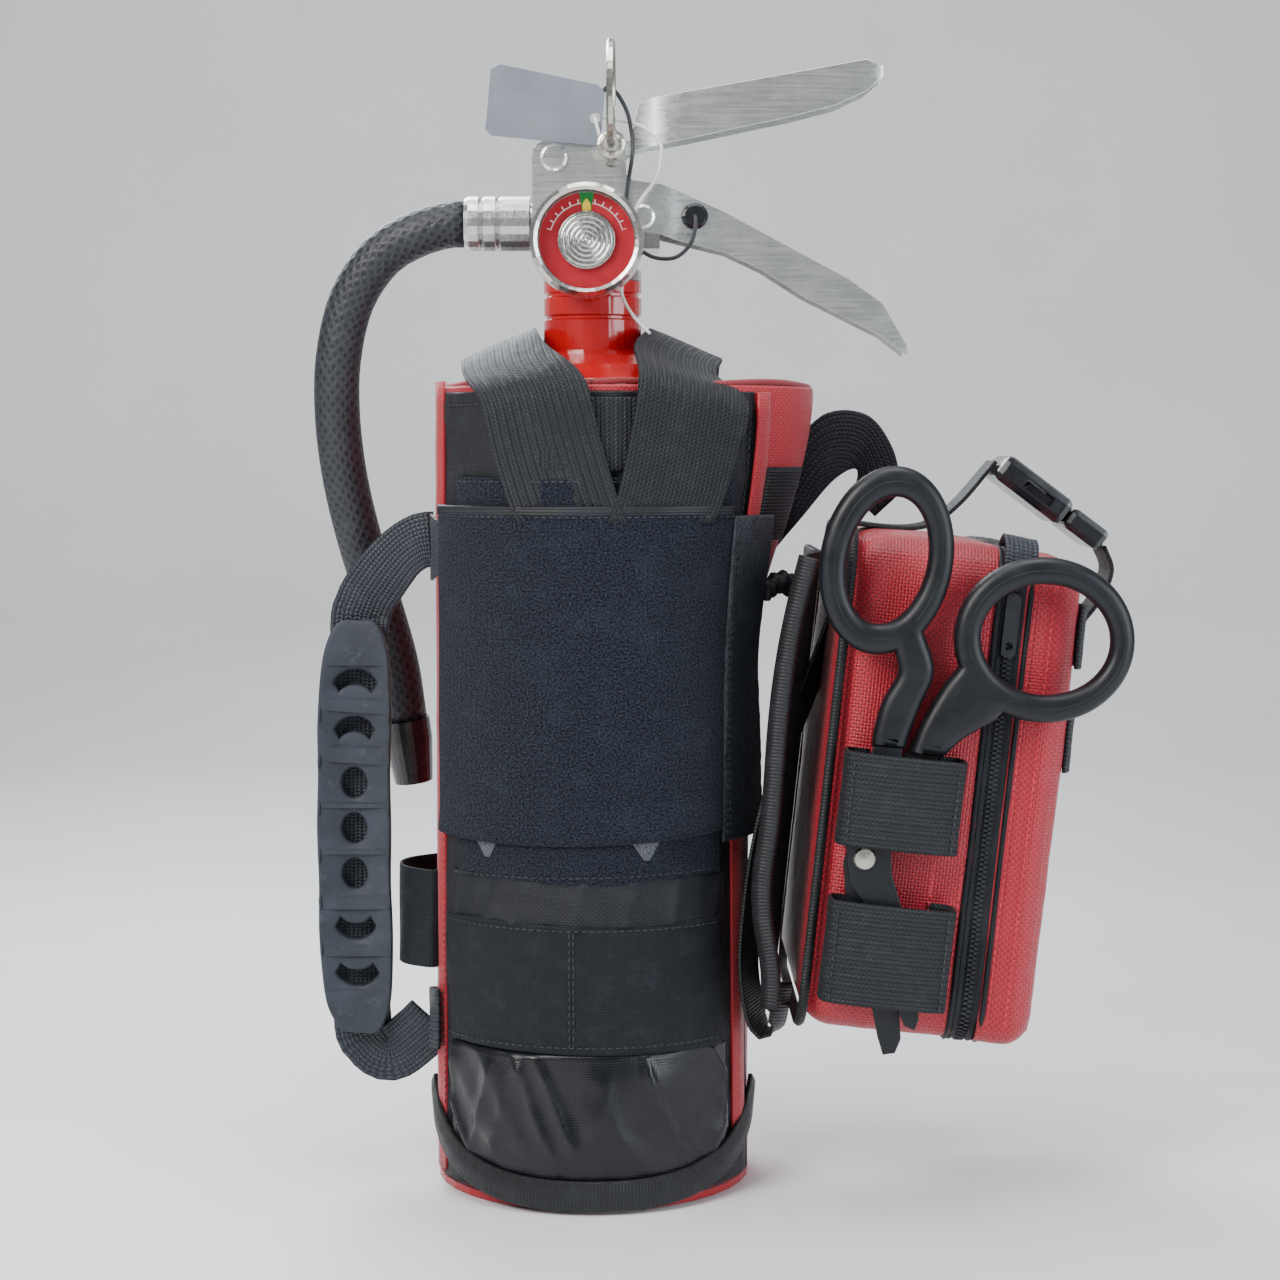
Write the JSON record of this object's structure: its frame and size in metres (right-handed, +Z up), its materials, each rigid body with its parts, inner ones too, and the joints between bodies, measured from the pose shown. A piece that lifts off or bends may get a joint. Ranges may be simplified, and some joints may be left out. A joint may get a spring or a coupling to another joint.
{
  "type": "fire extinguisher in a carry sleeve",
  "caption": "Dry-chemical fire extinguisher in a fabric carry sleeve with a side grip, a zipped first-aid pouch and trauma shears in webbing loops",
  "frame": {"origin": "on the bottle's axis, at the underside of the sleeve's bottom panel", "axes": "+Z up along the bottle, +X towards the levers and the pouch, -Y towards the gauge's face"},
  "size_m": [0.2869, 0.1379, 0.4047],
  "materials": {
    "black_nylon": "woven",
    "black_webbing": "webbing",
    "buckle_plastic": "moulded",
    "dial_red": "printed",
    "dressing_white": "folded dressings",
    "elastic": "elastic",
    "ferrule_aluminium": "crimped",
    "gathered_black": "gathered",
    "gauge_nickel": "nickel",
    "grip_rubber": "moulded",
    "handle_steel": "plated sheet steel",
    "hose_rubber": "braid marked",
    "lanyard_black": "soft cord",
    "lever_steel": "plated sheet steel",
    "loop_pile": "loop pile",
    "nozzle_black": "moulded",
    "pin_steel": "nickel",
    "platform_hook": "hook pile",
    "plug_black": "moulded",
    "pointer_yellow": "painted",
    "pouch_red": "coated woven",
    "pull_black": "moulded",
    "pull_leather": "pebbled",
    "red_nylon": "woven",
    "red_paint": "gloss red powder coat",
    "rivet_steel": "plated",
    "screw_steel": "plated",
    "shears_plastic": "moulded",
    "spiral_steel": "turned",
    "spring_steel": "wound wire",
    "stem_metal": "turned",
    "tag_grey": "matt sheet",
    "tie_white": "soft cord",
    "tube_plastic": "plain",
    "valve_metal": "machined",
    "window_clear": "clear",
    "zip_black": "zip tape",
    "zip_metal": "blackened"
  },
  "bodies": {
    "base": {"band_loop": "elastic", "bottle_shell": "red_paint", "bottom_binding": "black_webbing", "carry_handle": "handle_steel", "carry_loop": "black_webbing", "collar_strap": "black_webbing", "dressing_pack": "dressing_white", "elastic_band": "elastic", "front_panel": "black_nylon", "gathered_cord": "gathered_black", "gauge_bezel": "gauge_nickel", "gauge_case": "gauge_nickel", "gauge_dial": "dial_red", "gauge_spiral": "spiral_steel", "gauge_window": "window_clear", "grip_webbing": "black_webbing", "handle_rivet": "rivet_steel", "hose": "hose_rubber", "hose_ferrule": "ferrule_aluminium", "hose_nozzle": "nozzle_black", "lanyard_plug": "plug_black", "lever_pivot": "rivet_steel", "loop_field": "loop_pile", "lower_pocket": "black_nylon", "pin_lanyard": "lanyard_black", "pouch_platform": "platform_hook", "pouch_rear": "pouch_red", "shear_loop_lower": "black_webbing", "shear_loop_upper": "black_webbing", "shoulder_strap_left": "black_webbing", "shoulder_strap_right": "black_webbing", "side_tab": "black_webbing", "side_webbing": "black_webbing", "siphon_tube": "tube_plastic", "sleeve_body": "red_nylon", "sleeve_bottom": "red_nylon", "stem_spring": "spring_steel", "tag_tie": "tie_white", "top_strap": "black_webbing", "valve_body": "valve_metal", "zip_tape": "zip_black"},
    "pointer": {"gauge_pointer": "pointer_yellow"},
    "lever": {"operating_lever": "lever_steel"},
    "stem": {"valve_stem": "stem_metal"},
    "pin": {"pull_pin": "pin_steel"},
    "ring": {"pull_ring": "pin_steel"},
    "tag": {"inspection_tag": "tag_grey"},
    "flap": {"front_flap": "loop_pile", "flap_pull_strip": "pull_leather"},
    "grip": {"rubber_grip": "grip_rubber"},
    "lid": {"pouch_lid": "pouch_red", "front_strap": "black_webbing", "ladder_lock": "buckle_plastic", "buckle_female": "buckle_plastic"},
    "buckle": {"buckle_male": "buckle_plastic"},
    "slider": {"zip_slider": "zip_metal"},
    "pull": {"zip_pull": "pull_black"},
    "shears": {"shears_right": "shears_plastic", "shears_screw": "screw_steel"},
    "shears_half": {"shears_left": "shears_plastic"}
  },
  "joints": [
    {"name": "lever_squeeze", "type": "hinge", "parent": "base", "child": "lever", "pos_m": [-0.0133, 0, 0.3656], "axis": [0, 1, 0], "range_deg": [0, 10], "stiffness_Nm_per_rad": 3, "springref_deg": -8.59},
    {"name": "stem_travel", "type": "slide", "parent": "base", "child": "stem", "axis": [0, 0, -1], "range_m": [0, 0.0025], "deforming": ["stem_spring"]},
    {"name": "pin_pull", "type": "slide", "parent": "base", "child": "pin", "axis": [0, -1, 0], "range_m": [0, 0.045]},
    {"name": "ring_lean", "type": "hinge", "parent": "pin", "child": "ring", "pos_m": [0.007, -0.0305, 0.3685], "axis": [0, 1, 0], "range_deg": [0, 35]},
    {"name": "gauge_needle", "type": "hinge", "parent": "base", "child": "pointer", "pos_m": [-0.0015, -0.0321, 0.3355], "axis": [0, 1, 0], "range_deg": [-70, 70]},
    {"name": "tag_swing", "type": "hinge", "parent": "base", "child": "tag", "pos_m": [0.0013, -0.0182, 0.379], "axis": [0, -1, 0], "range_deg": [-4, 20]},
    {"name": "flap_peel", "type": "hinge", "parent": "base", "child": "flap", "pos_m": [-0.05346, -0.02843, 0.185], "axis": [0, 0, -1], "range_deg": [0, 70]},
    {"name": "grip_slide", "type": "slide", "parent": "base", "child": "grip", "axis": [0, 0, 1], "range_m": [-0.008, 0.008]},
    {"name": "lid_open", "type": "hinge", "parent": "base", "child": "lid", "pos_m": [0.13664, 0.0615, 0.14484], "axis": [0.1045, 0, 0.9945], "range_deg": [0, 100]},
    {"name": "buckle_release", "type": "slide", "parent": "lid", "child": "buckle", "axis": [0.7986, 0, -0.6018], "range_m": [0, 0.03]},
    {"name": "zip_run", "type": "slide", "parent": "base", "child": "slider", "axis": [-0.1045, 0, -0.9945], "range_m": [0, 0.115]},
    {"name": "zip_pull_lift", "type": "hinge", "parent": "slider", "child": "pull", "pos_m": [0.14396, -0.0596, 0.21446], "axis": [-0.9945, 0, 0.1045], "range_deg": [0, 60]},
    {"name": "shears_draw", "type": "slide", "parent": "base", "child": "shears", "axis": [0.1045, 0, 0.9945], "range_m": [0, 0.15]},
    {"name": "shears_open", "type": "hinge", "parent": "shears", "child": "shears_half", "pos_m": [0.09261, -0.071, 0.12584], "axis": [0, -1, 0], "range_deg": [0, 6]}
  ],
  "couplings": [
    {"joint": "stem_travel", "follows": "lever_squeeze", "m_per_rad": 0.0133}
  ]
}
